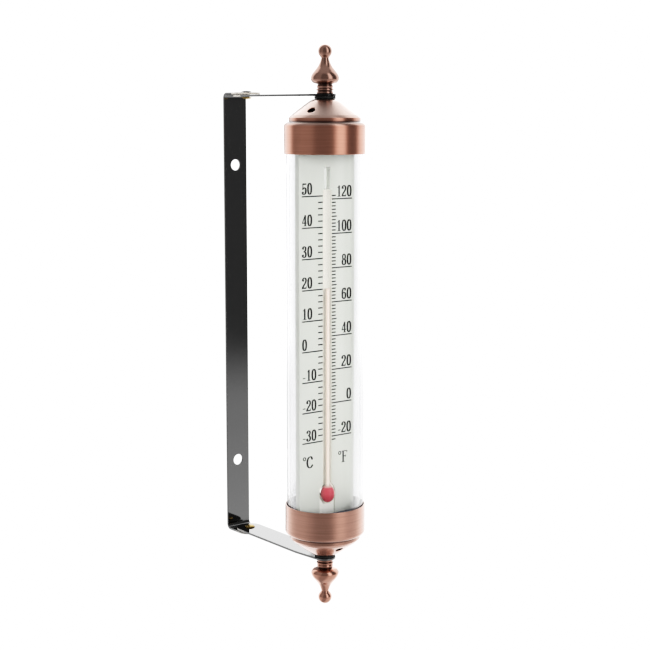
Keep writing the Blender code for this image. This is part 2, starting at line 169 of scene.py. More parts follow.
def lathe(name, profile, location=(0, TUBE_Y, 0), steps=144, closed=True, sharp=30):
    """Turns a section of (radius, z) points about a vertical axis through the object's origin."""
    bm = bmesh.new()
    rings = []
    for radius, z in profile:
        if radius < 1e-7:
            rings.append([bm.verts.new((0, 0, z))] * steps)
        else:
            turns = [2 * math.pi * k / steps for k in range(steps)]
            rings.append([bm.verts.new((radius * math.cos(a), radius * math.sin(a), z)) for a in turns])
    pairs = list(zip(rings, rings[1:])) + ([(rings[-1], rings[0])] if closed else [])
    for low, high in pairs:
        for k in range(steps):
            after = (k + 1) % steps
            corners = []
            for vert in (low[k], low[after], high[after], high[k]):
                if vert not in corners:
                    corners.append(vert)
            if len(corners) > 2:
                bm.faces.new(corners)
    return from_bmesh(name, bm, location, sharp)


def at_end(side, profile):
    """Turns (radius, distance outwards from the rim) points into (radius, z) points at one end."""
    return [(radius, side * (RIM_Z + distance)) for radius, distance in profile]


def prism(name, outline, low, high, axis="z", location=(0, 0, 0), sharp=30):
    """Extrudes an outline along an axis; its points are the other two coordinates, in XYZ order."""
    def place(u, v, w):
        return {"x": (w, u, v), "y": (u, w, v), "z": (u, v, w)}[axis]

    bm = bmesh.new()
    face = bm.faces.new([bm.verts.new(place(u, v, low)) for u, v in outline])
    moved = [item for item in bmesh.ops.extrude_face_region(bm, geom=[face])["geom"]
             if isinstance(item, bmesh.types.BMVert)]
    bmesh.ops.translate(bm, verts=moved, vec=place(0, 0, high - low))
    return from_bmesh(name, bm, location, sharp)


def rod(radius, centre, direction, length, steps=48):
    """A round cutter through a point."""
    bm = bmesh.new()
    bmesh.ops.create_cone(bm, cap_ends=True, segments=steps, radius1=radius, radius2=radius, depth=length)
    turn = Vector(direction).to_track_quat("Z", "Y").to_matrix().to_4x4()
    bmesh.ops.transform(bm, matrix=Matrix.Translation(centre) @ turn, verts=bm.verts)
    return from_bmesh("cutter", bm)


def carve(piece, cutters, operation="DIFFERENCE"):
    """Applies Booleans to the piece and removes the cutters."""
    for cutter in cutters:
        modifier = piece.modifiers.new("carve", "BOOLEAN")
        modifier.operation = operation
        modifier.solver = "EXACT"
        modifier.object = cutter
    settle(piece)
    for cutter in cutters:
        bpy.data.objects.remove(cutter)


def final_mesh(item):
    """The mesh that an object's modifiers, or its curve, make."""
    bpy.context.view_layer.update()
    graph = bpy.context.evaluated_depsgraph_get()
    return bpy.data.meshes.new_from_object(item.evaluated_get(graph), depsgraph=graph)


def settle(piece):
    """Applies the piece's modifiers."""
    mesh = final_mesh(piece)
    piece.modifiers.clear()
    piece.data = mesh


def soften(piece, width, segments=2, angle=40):
    """Rounds the piece's sharp edges a little, so that they catch the light."""
    bevel = piece.modifiers.new("soften", "BEVEL")
    bevel.width = width
    bevel.segments = segments
    bevel.limit_method = "ANGLE"
    bevel.angle_limit = math.radians(angle)
    bevel.use_clamp_overlap = True
    piece.modifiers.new("normals", "WEIGHTED_NORMAL").keep_sharp = True
    settle(piece)


def dress(piece, material, body, slot, *nodes):
    """Gives a finished piece its material and its body, and hides the solids that it stands for; the slot is
    not used.
    """
    piece.data.materials.clear()
    piece.data.materials.append(material)
    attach(piece, body)
    if nodes:
        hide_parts(*nodes)


# ---------------------------------------------------------------- material helpers

class Graph:
    """Short calls that add nodes to the tree of a material or a world."""

    def __init__(self, owner):
        self.owner = owner
        owner.use_nodes = True
        self.tree = owner.node_tree
        self.tree.nodes.clear()

    def node(self, kind, inputs=None, **settings):
        node = self.tree.nodes.new(kind)
        for key, value in settings.items():
            setattr(node, key, value)
        for key, value in (inputs or {}).items():
            if isinstance(value, bpy.types.NodeSocket):
                self.tree.links.new(value, node.inputs[key])
            else:
                node.inputs[key].default_value = value
        return node

    def math(self, operation, first, second=0.0):
        return self.node("ShaderNodeMath", {0: first, 1: second}, operation=operation).outputs[0]

    def product(self, first, *others):
        for other in others:
            first = self.math("MULTIPLY", first, other)
        return first

    def scaled(self, value, factor, base):
        """The value times a factor, plus a base."""
        return self.math("ADD", self.product(value, factor), base)

    def rise(self, value, start, end, low=0.0, high=1.0, kind="LINEAR"):
        """A level that goes from low to high while the value goes from start to end."""
        inputs = {"Value": value, "From Min": start, "From Max": end, "To Min": low, "To Max": high}
        return self.node("ShaderNodeMapRange", inputs, interpolation_type=kind).outputs[0]

    def noise(self, vector, scale, detail=3.0, roughness=0.55):
        inputs = {"Vector": vector, "Scale": scale, "Detail": detail, "Roughness": roughness}
        return self.node("ShaderNodeTexNoise", inputs).outputs["Fac"]

    def ramp(self, factor, stops):
        """A colour ramp through (position, colour) stops; a number stands for a grey."""
        ramp = self.node("ShaderNodeValToRGB", {"Fac": factor})
        elements = ramp.color_ramp.elements
        while len(elements) < len(stops):
            elements.new(1.0)
        for element, (position, colour) in zip(elements, stops):
            element.position = position
            element.color = (*((colour,) * 3 if isinstance(colour, (int, float)) else colour), 1)
        return ramp.outputs["Color"]

    def mix(self, factor, first, second):
        node = self.node("ShaderNodeMix", {"Factor": factor}, data_type="RGBA")
        for socket, value in ((node.inputs[6], first), (node.inputs[7], second)):
            if isinstance(value, bpy.types.NodeSocket):
                self.tree.links.new(value, socket)
            else:
                socket.default_value = (*value, 1)
        return node.outputs[2]

    def bump(self, height, strength, distance):
        inputs = {"Height": height, "Strength": strength, "Distance": distance}
        return self.node("ShaderNodeBump", inputs).outputs["Normal"]

    def coordinates(self):
        return self.node("ShaderNodeTexCoord").outputs["Object"]

    def split(self, vector):
        """The X, Y and Z of a vector."""
        return self.node("ShaderNodeSeparateXYZ", {0: vector}).outputs

    def normal(self):
        """The X, Y and Z of the surface's direction."""
        return self.split(self.node("ShaderNodeNewGeometry").outputs["Normal"])

    def facing(self):
        """Zero where the surface faces the ray, one where it is seen edge on."""
        return self.node("ShaderNodeLayerWeight", {"Blend": 0.5}).outputs["Facing"]

    def openness(self, reach):
        """One in the open, less in recesses smaller than the reach."""
        return self.node("ShaderNodeAmbientOcclusion", {"Distance": reach}, samples=6).outputs["AO"]

    def path(self, kind):
        return self.node("ShaderNodeLightPath").outputs[kind]

    def principled(self, **inputs):
        named = {key.replace("_", " "): value for key, value in inputs.items()}
        return self.node("ShaderNodeBsdfPrincipled", named).outputs[0]

    def shader(self, kind, **inputs):
        return self.node(kind, inputs).outputs[0]

    def clear(self, tint=(1, 1, 1, 1)):
        return self.shader("ShaderNodeBsdfTransparent", Color=tint)

    def glossy(self, colour, roughness, normal):
        return self.shader("ShaderNodeBsdfGlossy", Color=colour, Roughness=roughness, Normal=normal)

    def translucent(self, colour):
        return self.shader("ShaderNodeBsdfTranslucent", Color=colour)

    def blend(self, share, first, second):
        """The first shader, with a share of the second."""
        return self.node("ShaderNodeMixShader", {0: share, 1: first, 2: second}).outputs[0]

    def finish(self, shader):
        """Ends a material with its shader, and gives the material."""
        self.node("ShaderNodeOutputMaterial", {"Surface": shader})
        return self.owner


def start_material(name):
    return Graph(bpy.data.materials.new(name))


def turned_copper(name, streaks, roughness, side_dust_sheen, top_dust_sheen, fineness=5200.0, anisotropy=0.6, shade_darkening=0.0):
    """Lathe-brushed antique copper: fine rings, painted shade in its recesses and in the crease at the neck,
    a clear lacquer, a pale haze of dust and painted sheen thickest where it faces up, and optional painted
    shade."""
    g = start_material(name)
    point = g.coordinates()
    x, y, z = g.split(point)
    radius = g.math("SQRT", g.math("ADD", g.product(x, x), g.product(y, y)))
    safe = g.math("MAXIMUM", radius, 0.0005)
    along = g.product(g.math("ADD", z, radius), fineness)
    ring = g.node("ShaderNodeCombineXYZ", {0: g.math("DIVIDE", x, safe), 1: g.math("DIVIDE", y, safe),
                                           2: along}).outputs[0]
    brushed = g.noise(ring, 1.0, 5.0, 0.65)
    coarse = g.noise(ring, 0.23, 2.0, 0.5)
    stains = g.noise(point, 90.0, 4.0, 0.6)
    plain = (0.57, 0.283, 0.205)
    metal = g.ramp(brushed, [(0.25, (0.42, 0.195, 0.135)), (0.5, plain), (0.75, (0.70, 0.385, 0.295))])
    worn = g.mix(g.ramp(coarse, [(0.45, 0.0), (0.75, 0.5)]), metal, (0.28, 0.12, 0.08))
    brushing = g.mix(streaks, plain, worn)
    stained = g.mix(g.ramp(stains, [(0.5, 0.0), (0.8, 0.25)]), brushing, (0.33, 0.15, 0.10))
    # Dust and painted sheen: surfaces that face up are paler, standing in for the bright surroundings they
    # mirror.
    dust_and_sheen = g.mix(g.ramp(g.normal()[2], [(0.1, side_dust_sheen), (0.75, top_dust_sheen)]), stained, (0.62, 0.51, 0.46))
    # Painted shade: darker where ambient occlusion finds a recess.
    recess = g.ramp(g.openness(0.004), [(0.42, 0.94), (0.93, 0.0)])
    # Painted shade: a dark line in the crease where the neck meets the shoulder.
    away = g.math("ABSOLUTE", g.math("SUBTRACT", g.math("ABSOLUTE", z), RIM_Z + NECK_START))
    crease_shade = g.rise(away, 0.0003, 0.0009, 0.85, 0.0)
    # Painted shade: the whole piece darkened towards dark brown, for a shaded copy of the copper.
    shaded = g.mix(shade_darkening, dust_and_sheen, (0.09, 0.050, 0.038))
    colour = g.mix(g.math("MAXIMUM", recess, crease_shade), shaded, (0.04, 0.018, 0.013))
    rough = g.scaled(brushed, 0.14, roughness - 0.07)
    tangent = g.node("ShaderNodeTangent", direction_type="RADIAL", axis="Z").outputs[0]
    shader = g.principled(Base_Color=colour, Metallic=1.0, Roughness=rough, Anisotropic=anisotropy,
                          Anisotropic_Rotation=0.25, Tangent=tangent, Coat_Weight=1.0,
                          Coat_Roughness=0.12, Coat_IOR=1.5,
                          Normal=g.bump(brushed, 0.4 * streaks, 0.00003))
    return g.finish(shader)


def black_paint(name, bare_from, bare_to):
    """Hard glossy black, its reflection turned down as painted shade in recesses, under the finial and on the
    wall's side, and worn to bare steel along the sheared edges between two distances from the object's origin
    along Y, those pale edges partly a painted highlight, stronger on the upper pieces."""
    g = start_material(name)
    point = g.coordinates()
    peel = g.noise(point, 420.0, 2.0, 0.5)
    dust = g.noise(point, 2600.0, 4.0, 0.7)
    cloud = g.noise(point, 60.0, 3.0, 0.5)
    _, y, z = g.split(point)
    _, wallward, skyward = g.normal()
    upper = g.math("GREATER_THAN", z, 0.0)
    on_edge = g.math("LESS_THAN", g.math("ABSOLUTE", skyward), 0.5)
    on_flange = g.math("GREATER_THAN", g.math("ABSOLUTE", z), ARM_LOW - 0.0002)
    here = g.product(g.math("GREATER_THAN", y, bare_from), g.math("LESS_THAN", y, bare_to))
    worn = g.ramp(g.noise(point, 700.0, 3.0, 0.6), [(0.3, 0.55), (0.6, 1.0)])
    # Worn bare steel and painted highlight: pale sheared edges near the rivets, paler on the upper pieces.
    bare_and_highlight = g.product(on_edge, on_flange, here, g.product(worn, g.scaled(upper, 0.65, 0.25)))
    paint = g.mix(g.ramp(dust, [(0.62, 0.0), (0.85, 0.5)]), (0.0075, 0.0070, 0.0072), (0.030, 0.028, 0.027))
    base = g.mix(bare_and_highlight, paint, (0.80, 0.74, 0.65))
    rough = g.scaled(cloud, 0.08, g.scaled(bare_and_highlight, 0.3, 0.03))
    # Painted shade: the reflection turned down in recesses, under the finial's nose and on the side facing
    # the wall.
    nose = g.product(g.math("LESS_THAN", y, -0.0590), upper)
    shade_dulling = g.product(g.math("MAXIMUM", nose, g.math("GREATER_THAN", wallward, 0.7)), 0.85)
    shine = g.product(g.ramp(g.openness(0.003), [(0.55, 0.04), (0.9, 0.5)]), g.math("SUBTRACT", 1.0, shade_dulling))
    shader = g.principled(Base_Color=base, Roughness=rough, IOR=2.9, Specular_IOR_Level=shine,
                          Normal=g.bump(peel, 0.08, 0.00006))
    return g.finish(shader)


def worn_brass():
    """Darkened brass inside the bracket; the outer heads are painted like the bracket."""
    g = start_material("rivet_brass")
    point = g.coordinates()
    wear = g.noise(point, 900.0, 4.0, 0.6)
    bright = g.ramp(wear, [(0.35, (0.16, 0.115, 0.05)), (0.6, (0.42, 0.31, 0.13)), (0.8, (0.66, 0.50, 0.24))])
    height = g.math("ABSOLUTE", g.split(point)[2])
    colour = g.mix(g.math("GREATER_THAN", height, BRACKET_TOP), bright, (0.015, 0.014, 0.013))
    shader = g.principled(Base_Color=colour, Metallic=1.0, Roughness=g.scaled(wear, 0.3, 0.15),
                          Normal=g.bump(wear, 0.25, 0.00005))
    return g.finish(shader)


def moulded(name, size, dark, light, roughness, spread, relief):
    """Rubber or plastic with a fine dull grain."""
    g = start_material(name)
    grain = g.noise(g.coordinates(), size, 4.0, 0.6)
    shader = g.principled(Base_Color=g.mix(grain, dark, light), Roughness=g.scaled(grain, spread, roughness),
                          Normal=g.bump(grain, *relief))
    return g.finish(shader)


def rubber(name, grey):
    return moulded(name, 1800.0, (grey * 0.7,) * 3, (grey * 1.5, grey * 1.48, grey * 1.45), 0.4, 0.25,
                   (0.3, 0.00005))


def plug_plastic():
    return moulded("plug_plastic", 900.0, (0.075, 0.085, 0.115), (0.11, 0.12, 0.15), 0.35, 0.2,
                   (0.2, 0.00004))


def zinc_steel():
    g = start_material("zinc_steel")
    grain = g.noise(g.coordinates(), 1200.0, 5.0, 0.6)
    colour = g.ramp(grain, [(0.3, (0.42, 0.42, 0.43)), (0.7, (0.68, 0.68, 0.70))])
    shader = g.principled(Base_Color=colour, Metallic=1.0, Roughness=g.scaled(grain, 0.2, 0.2),
                          Normal=g.bump(grain, 0.2, 0.00003))
    return g.finish(shader)


def open_to_light(g, shader, tint):
    """The shader as seen, but only a clear tint to the light that passes on to what is behind it."""
    passing = g.math("MAXIMUM", g.path("Is Shadow Ray"), g.path("Is Diffuse Ray"))
    return g.blend(passing, shader, g.clear((*tint, 1)))


def clear_plastic():
    """Thin clear wall: it mirrors a little, most of all at its edges, and lets the rest through."""
    g = start_material("clear_tube_plastic")
    facing = g.facing()
    tint = g.ramp(facing, [(0.0, (0.990, 0.992, 0.996)), (0.8, (0.980, 0.980, 0.990)),
                           (0.95, (0.960, 0.960, 0.980)), (1.0, (0.85, 0.85, 0.90))])
    share = g.ramp(facing, [(0.0, 0.018), (0.27, 0.022), (0.36, 0.18), (0.45, 0.33), (0.7, 0.42), (1.0, 0.8)])
    normal = g.bump(g.noise(g.coordinates(), 25.0, 2.0, 0.4), 0.05, 0.0004)
    wall = g.blend(share, g.clear(tint), g.glossy((1, 1, 1, 1), 0.03, normal))
    return g.finish(open_to_light(g, wall, (1, 1, 1)))


def scale_plastic():
    """Milky plastic: light from behind comes through it, more where it is thin; painted paler in its groove
    and bulb recess, painted light that lifts the shade in them.
    """
    g = start_material("scale_plate_plastic")
    point = g.coordinates()
    cloud = g.noise(point, 45.0, 3.0, 0.5)
    grain = g.noise(point, 1400.0, 3.0, 0.6)
    colour = g.mix(cloud, (0.70, 0.715, 0.665), (0.75, 0.76, 0.72))
    x, y, z = g.split(point)
    beside = g.math("ABSOLUTE", x)
    in_groove = g.product(g.math("LESS_THAN", beside, GROOVE_RADIUS), g.math("LESS_THAN", z, GROOVE_TOP))
    above = g.math("MAXIMUM", g.math("SUBTRACT", z, RECESS_Z), 0.0)
    off_bulb = g.math("SQRT", g.math("ADD", g.math("POWER", beside, 2.0), g.math("POWER", above, 2.0)))
    in_recess = g.math("LESS_THAN", off_bulb, RECESS_RADIUS)
    before_back = g.math("LESS_THAN", y, PLATE_THICKNESS / 2 - 0.0002)
    # Painted light: the groove and the bulb recess get a paler colour to lift the shade in them.
    pale = g.product(g.math("MAXIMUM", in_groove, in_recess), before_back)
    colour = g.mix(pale, colour, (0.97, 0.96, 0.92))
    front = g.principled(Base_Color=colour, Roughness=0.38, Normal=g.bump(grain, 0.08, 0.00003))
    milky = g.blend(0.45, front, g.translucent(colour))
    off_slot = g.math("ABSOLUTE", g.math("SUBTRACT", z, SLOT_TOP - SLOT_LENGTH / 2))
    web = g.product(g.math("LESS_THAN", beside, SLOT_HALF_WIDTH + 0.0001),
                    g.math("LESS_THAN", off_slot, SLOT_LENGTH / 2 + 0.0001))
    return g.finish(g.blend(g.product(web, 0.55), milky, g.clear()))


def printing_ink():
    g = start_material("printing_ink")
    speckle = g.noise(g.coordinates(), 3000.0, 3.0, 0.6)
    colour = g.mix(speckle, (0.006, 0.006, 0.007), (0.022, 0.021, 0.021))
    return g.finish(g.principled(Base_Color=colour, Roughness=0.45))


def stem_glass():
    """Lens-fronted capillary glass: nearly clear, warmer and darker only along its edges."""
    g = start_material("stem_glass")
    facing = g.facing()
    tint = g.ramp(facing, [(0.0, (0.999, 0.995, 0.988)), (0.5, (0.997, 0.987, 0.976)),
                           (0.95, (0.98, 0.945, 0.92))])
    normal = g.bump(g.noise(g.coordinates(), 160.0, 2.0, 0.5), 0.1, 0.0001)
    share = g.ramp(facing, [(0.0, 0.02), (0.6, 0.03), (0.85, 0.07), (1.0, 0.25)])
    glass = g.blend(share, g.clear(tint), g.glossy((1, 0.99, 0.98, 1), 0.06, normal))
    return g.finish(open_to_light(g, glass, (0.98, 0.97, 0.96)))


def red_spirit():
    """Deep red in the bulb; the thin thread above it looks pale pink, with redder edges."""
    g = start_material("red_spirit")
    point = g.coordinates()
    cloud = g.noise(point, 700.0, 3.0, 0.6)
    facing = g.facing()
    body = g.mix(cloud, (0.36, 0.045, 0.065), (0.56, 0.125, 0.150))
    colour = g.mix(g.ramp(facing, [(0.55, 0.0), (0.9, 0.65)]), body, (0.74, 0.42, 0.40))
    deep = g.principled(Base_Color=colour, Roughness=0.12, IOR=1.36)
    above = g.rise(g.split(point)[2], BULB_Z + 0.0030, BULB_Z + 0.0042)
    thread = g.ramp(facing, [(0.25, (0.97, 0.90, 0.83)), (0.6, (0.90, 0.77, 0.71)),
                             (0.8, (0.68, 0.44, 0.39))])
    pale = g.blend(0.4, g.principled(Base_Color=thread, Roughness=0.3), g.translucent(thread))
    return g.finish(g.blend(above, deep, pale))


# ---------------------------------------------------------------- bracket and arms

def bracket(paint):
    """Bent strip with rounded flange ends, two wall screw holes and softly rounded edges."""
    top = BRACKET_TOP
    front = RIVET_Y - STRIP_HALF
    inner = BEND_RADIUS - SHEET
    section = [(front, -top)]
    section += arc((-BEND_RADIUS, -top + BEND_RADIUS), BEND_RADIUS, 270, 360, 14)
    section += arc((-BEND_RADIUS, top - BEND_RADIUS), BEND_RADIUS, 0, 90, 14)
    section += [(front, top), (front, top - SHEET)]
    section += arc((-BEND_RADIUS, top - BEND_RADIUS), inner, 90, 0, 14)
    section += arc((-BEND_RADIUS, -top + BEND_RADIUS), inner, 0, -90, 14)
    section += [(front, -top + SHEET)]
    strip = prism("bracket_strip", section, -STRIP_HALF, STRIP_HALF, "x")
    beyond = 0.002
    wide, tall = STRIP_HALF + beyond, top + beyond
    plan = [(wide, RIVET_Y), (wide, beyond), (-wide, beyond), (-wide, RIVET_Y)]
    plan += arc((0, RIVET_Y), STRIP_HALF, 180, 360, 48)
    carve(strip, [prism("plan", plan, -tall, tall)], "INTERSECT")
    holes = [rod(SCREW_HOLE_RADIUS, (0, 0, side * SCREW_HOLE_Z), (0, 1, 0), 3 * beyond)
             for side in ENDS.values()]
    holes.append(rod(PIN_HOLE_RADIUS, (0, RIVET_Y, 0), (0, 0, 1), 2 * tall))
    carve(strip, holes)
    soften(strip, SHEARED_EDGE, 3)
    dress(strip, paint, "bracket", "black_paint", "wall_bracket")


def rivet(label, side, brass):
    """Button rivet: a domed head inside and a flatter head outside."""
    gap, shank, head, dome, crown = 0.0002, 0.0016, 0.0026, 0.0009, 0.00063
    inner_face, outer_face = ARM_LOW - RIM_Z - gap, BRACKET_TOP - RIM_Z + gap

    def button(face, height):
        angles = [math.radians(a) for a in range(0, 90, 9)]
        return [(head * math.cos(a), face + height * math.sin(a)) for a in angles] + [(0, face + height)]

    profile = button(inner_face, -dome)[::-1] + [(shank, inner_face), (shank, outer_face)]
    profile += button(outer_face, crown)
    piece = lathe(f"{label}_button_rivet", at_end(side, profile), (0, RIVET_Y, 0), 64, False, 50)
    dress(piece, brass, "bracket", "rivet_metal", f"{label}_rivet")


def arm(label, side, paint):
    """Flat strip: round about its rivet, and narrowing to a small nose under the finial."""
    reach = RIVET_Y - TUBE_Y
    shoulder_y = -reach + NOSE_TAPER
    span = math.hypot(STRIP_HALF, NOSE_TAPER)
    tangent = math.degrees(math.atan2(NOSE_TAPER, STRIP_HALF) - math.acos(NOSE_RADIUS / span))
    outline = arc((0, 0), STRIP_HALF, 0, 180, 48) + [(-STRIP_HALF, shoulder_y)]
    outline += arc((0, -reach), NOSE_RADIUS, 180 - tangent, 360 + tangent, 48)
    outline.append((STRIP_HALF, shoulder_y))
    low, high = sorted((side * ARM_LOW, side * ARM_HIGH))
    piece = prism(f"{label}_swing_arm", outline, low, high, location=(0, RIVET_Y, 0))
    middle = (low + high) / 2
    carve(piece, [rod(PIN_HOLE_RADIUS, (0, RIVET_Y, middle), (0, 0, 1), THROUGH),
                  rod(SHANK_HOLE_RADIUS, (0, TUBE_Y, middle), (0, 0, 1), THROUGH)])
    soften(piece, SHEARED_EDGE, 3)
    dress(piece, paint, f"{label}_swing_arm", "black_paint", f"{label}_arm")


# ---------------------------------------------------------------- caps and finials

def cap(label, side, copper):
    """Pressed shell: straight band, rounded shoulder, short neck, dished cone and two vent holes."""
    radius, wall, bore = 0.01915, 0.0006, SHANK_HOLE_RADIUS
    inside = radius - wall
    band, shoulder, neck, height = 0.0127, 0.0020, 0.0169, 0.0252
    outer = rounded([(inside, 0.0012), (inside, 0.0), (radius, 0.0), (radius, 0.0010)], 0.00022, closed=False)
    outer += [(radius, band)] + arc((radius - shoulder, band), shoulder, 8, 84, 9)
    outer += rounded([(0.0174, 0.01468), (neck, 0.0148), (neck, 0.0166), (0.0160, 0.0177)], 0.00025,
                     closed=False)
    cone = smooth_curve([(0.0160, 0.0177), (0.0146, 0.0188), (0.0130, 0.0200), (0.0104, 0.0219),
                         (0.0079, 0.0237), (0.0065, 0.02455), (0.0055, 0.02495), (0.0046, 0.02513),
                         (0.0040, height)], 4)
    outer += cone[1:] + [(bore, height)]
    inner = [(bore, height - 0.0007), (0.0040, height - 0.0007), (0.0052, 0.0243), (0.0075, 0.0230)]
    inner += [(0.0125, 0.0194), (0.0149, 0.0177), (neck - wall, 0.0163), (neck - wall, 0.0141)]
    inner += [(0.0174, 0.0140), (0.0181, 0.0137), (inside, 0.0129)]
    piece = lathe(f"{label}_cap_shell", at_end(side, outer + inner), steps=180, sharp=35)
    slope, off_axis, rise = math.radians(37), 0.0130, 0.0200
    vents = []
    for turn in (0, math.pi):
        angle = math.radians(VENT_DIRECTION[label]) + turn
        across = Vector((math.cos(angle), math.sin(angle), 0))
        normal = across * math.sin(slope) + Vector((0, 0, side * math.cos(slope)))
        centre = across * off_axis + Vector((0, TUBE_Y, side * (RIM_Z + rise)))
        vents.append(rod(VENT_RADIUS, centre, normal, THROUGH))
    carve(piece, vents)
    piece.modifiers.new("normals", "WEIGHTED_NORMAL").keep_sharp = True
    settle(piece)
    dress(piece, copper, "thermometer", "copper", f"{label}_cap")


def finial(label, side, copper):
    """Turned nut: a ringed stub, a broad bulb, a long taper and a ball, bored for the screw."""
    start = ARM_HIGH - RIM_Z + RUNNING_GAP
    tip = FINIAL_TIP - RIM_Z - start
    stub = rounded([(0.0018, 0.0), (0.0039, 0.0), (0.0039, 0.0010), (0.0035, 0.0012), (0.0035, 0.0014),
                    (0.0041, 0.0016), (0.0041, 0.0023), (0.0036, 0.0025), (0.0039, 0.0033),
                    (0.0039, 0.0037), (0.0035, 0.0040), (0.0035, 0.0042)], 0.00018, closed=False)
    bulb = smooth_curve([(0.0037, 0.0043), (0.0056, 0.0050), (0.0066, 0.0063), (0.0067, 0.0076),
                         (0.0061, 0.0091), (0.0049, 0.0107), (0.0035, 0.0124), (0.0025, 0.0141),
                         (0.0019, 0.0158), (0.0018, 0.0163)], 6)
    ball = arc((0, tip - BALL_RADIUS), BALL_RADIUS, -50, 90, 18)
    profile = [(0, 0.0078), (0.0018, 0.0072)] + stub + bulb + ball[:-1] + [(0, tip)]
    section = [(radius, start + height) for radius, height in profile]
    piece = lathe(f"{label}_turned_finial", at_end(side, section), steps=96, closed=False, sharp=50)
    dress(piece, copper, "thermometer", "copper", f"{label}_finial")


def washer(label, side, material):
    """Flat ring that fills the space between the cap and its arm."""
    low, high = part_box("upper_cap")[1].z + RUNNING_GAP, ARM_LOW - RUNNING_GAP
    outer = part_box("upper_washer")[1].x
    section = rounded([(SHANK_HOLE_RADIUS, low), (outer, low), (outer, high), (SHANK_HOLE_RADIUS, high)],
                      0.00018)
    piece = lathe(f"{label}_flat_washer", [(radius, side * z) for radius, z in section], steps=96, sharp=50)
    dress(piece, material, "thermometer", "black_rubber", f"{label}_washer")


def plug(label, side, material):
    """Moulded disc with a shallow dish, a slot for the plate's end and a step down in front of it."""
    low, high = (corner.z - RIM_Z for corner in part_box("upper_plug"))
    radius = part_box("upper_plug")[1].x
    section = rounded([(0, low + 0.0003), (radius - 0.0016, low + 0.0003), (radius - 0.0012, low),
                       (radius, low), (radius, high), (0, high)], 0.0003, closed=False)
    piece = lathe(f"{label}_tube_plug", at_end(side, section), steps=120, closed=False, sharp=40)
    beyond, gap, step = 0.02, 0.0003, 0.0050

    def cutter(ahead, behind, end):
        low_y, high_y = TUBE_Y - ahead, TUBE_Y + behind
        outline = [(-beyond, low_y), (beyond, low_y), (beyond, high_y), (-beyond, high_y)]
        return prism("cutter", outline, *sorted((side * RIM_Z, side * end)))

    half_slot = PLATE_THICKNESS / 2 + gap
    carve(piece, [cutter(half_slot, half_slot, PLATE_HIGH.z + gap), cutter(beyond, 0, RIM_Z + step)])
    soften(piece, 0.0001, 1)
    dress(piece, material, "thermometer", "plug_plastic", f"{label}_plug")


# ---------------------------------------------------------------- tube, plate and stem

def tube(material):
    inner = TUBE_RADIUS - TUBE_WALL
    section = rounded([(inner, TUBE_END), (TUBE_RADIUS, TUBE_END), (TUBE_RADIUS, -TUBE_END),
                       (inner, -TUBE_END)], 0.0002)
    piece = lathe("outer_tube", section, steps=192)
    dress(piece, material, "thermometer", "tube_clear", "clear_tube")


def plate(material):
    """Scale plate with rounded edges, a groove for the stem, a seat for the bulb and a top slot."""
    half_width, half_thick, end = PLATE_HIGH.x, PLATE_THICKNESS / 2, PLATE_HIGH.z
    corners = [(half_width, half_thick), (-half_width, half_thick), (-half_width, -half_thick),
               (half_width, -half_thick)]
    piece = prism("scale_panel", rounded(corners, 0.0004, steps=5), -end, end, location=(0, TUBE_Y, 0))
    groove = rod(GROOVE_RADIUS, (0, STEM_Y, (GROOVE_TOP - RIM_Z) / 2), (0, 0, 1), GROOVE_TOP + RIM_Z)
    seat_half = 0.0051
    seat = lathe("seat", bulb_curve(BULB_RADIUS + 0.0008, seat_half, 0.0004) + [(0, BULB_Z + seat_half)],
                 (0, STEM_Y, 0), 72, False)
    recess = [(-RECESS_RADIUS, -end - 0.002), (RECESS_RADIUS, -end - 0.002)]
    recess += arc((0, RECESS_Z), RECESS_RADIUS, 0, 180, 32)
    wide = SLOT_HALF_WIDTH
    slot = arc((0, SLOT_TOP - wide), wide, 0, 180, 20)
    slot += arc((0, SLOT_TOP - SLOT_LENGTH + wide), wide, 180, 360, 20)
    before = TUBE_Y - PLATE_THICKNESS
    carve(piece, [groove, seat, prism("recess", recess, before, PLATE_FRONT + RECESS_DEPTH, "y"),
                  prism("slot", slot, before, PLATE_FRONT + SLOT_DEPTH, "y")])
    soften(piece, 0.00015, 2)
    dress(piece, material, "thermometer", "scale_white", "scale_plate")


def bulb_curve(radius, half_height, neck, steps=24):
    """The lower end of the stem in section: an ellipse that ends where it meets the neck."""
    last = math.degrees(math.acos(neck / radius))
    angles = [math.radians(-90 + (90 + last) * i / steps) for i in range(steps + 1)]
    points = [(radius * math.cos(a), BULB_Z + half_height * math.sin(a)) for a in angles]
    return [(0, BULB_Z - half_height)] + points[1:]


def stem_and_spirit(glass, spirit):
    """Capillary glass with its bulb, and the spirit inside it up to the reading."""
    rounding = 0.0006
    profile = bulb_curve(BULB_RADIUS + BULB_GLASS, BULB_HALF_HEIGHT + BULB_GLASS, STEM_RADIUS)
    profile += arc((STEM_RADIUS - rounding, STEM_TOP - rounding), rounding, 0, 90, 6) + [(0, STEM_TOP)]
    piece = lathe("capillary_stem", profile, (0, STEM_Y, 0), 72, False, 50)
    dress(piece, glass, "thermometer", "stem_glass", "glass_stem")
    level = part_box("spirit_fill")[1].z
    thread = 0.00085
    filling = bulb_curve(BULB_RADIUS, BULB_HALF_HEIGHT, thread) + [(thread, level), (0, level)]
    filled = lathe("spirit_column", filling, (0, STEM_Y, 0), 64, False, 50)
    dress(filled, spirit, "thermometer", "spirit_red", "spirit_fill")


# ---------------------------------------------------------------- printed scale

MARK_50_Z = RIM_Z - 0.0194
PER_CELSIUS = 0.001456
INK_PROUD = 0.00002
INK_DEEP = 0.00002
LINE_THICKNESS = 0.00055
EM = 0.0052
WIDEN = 1.08
INNER, OUTER = 0.0027, 0.0148
THICK, THIN = 0.088, 0.037


def celsius_z(degrees):
    return MARK_50_Z - (50 - degrees) * PER_CELSIUS


def fahrenheit_z(degrees):
    return celsius_z((degrees - 32) / 1.8)


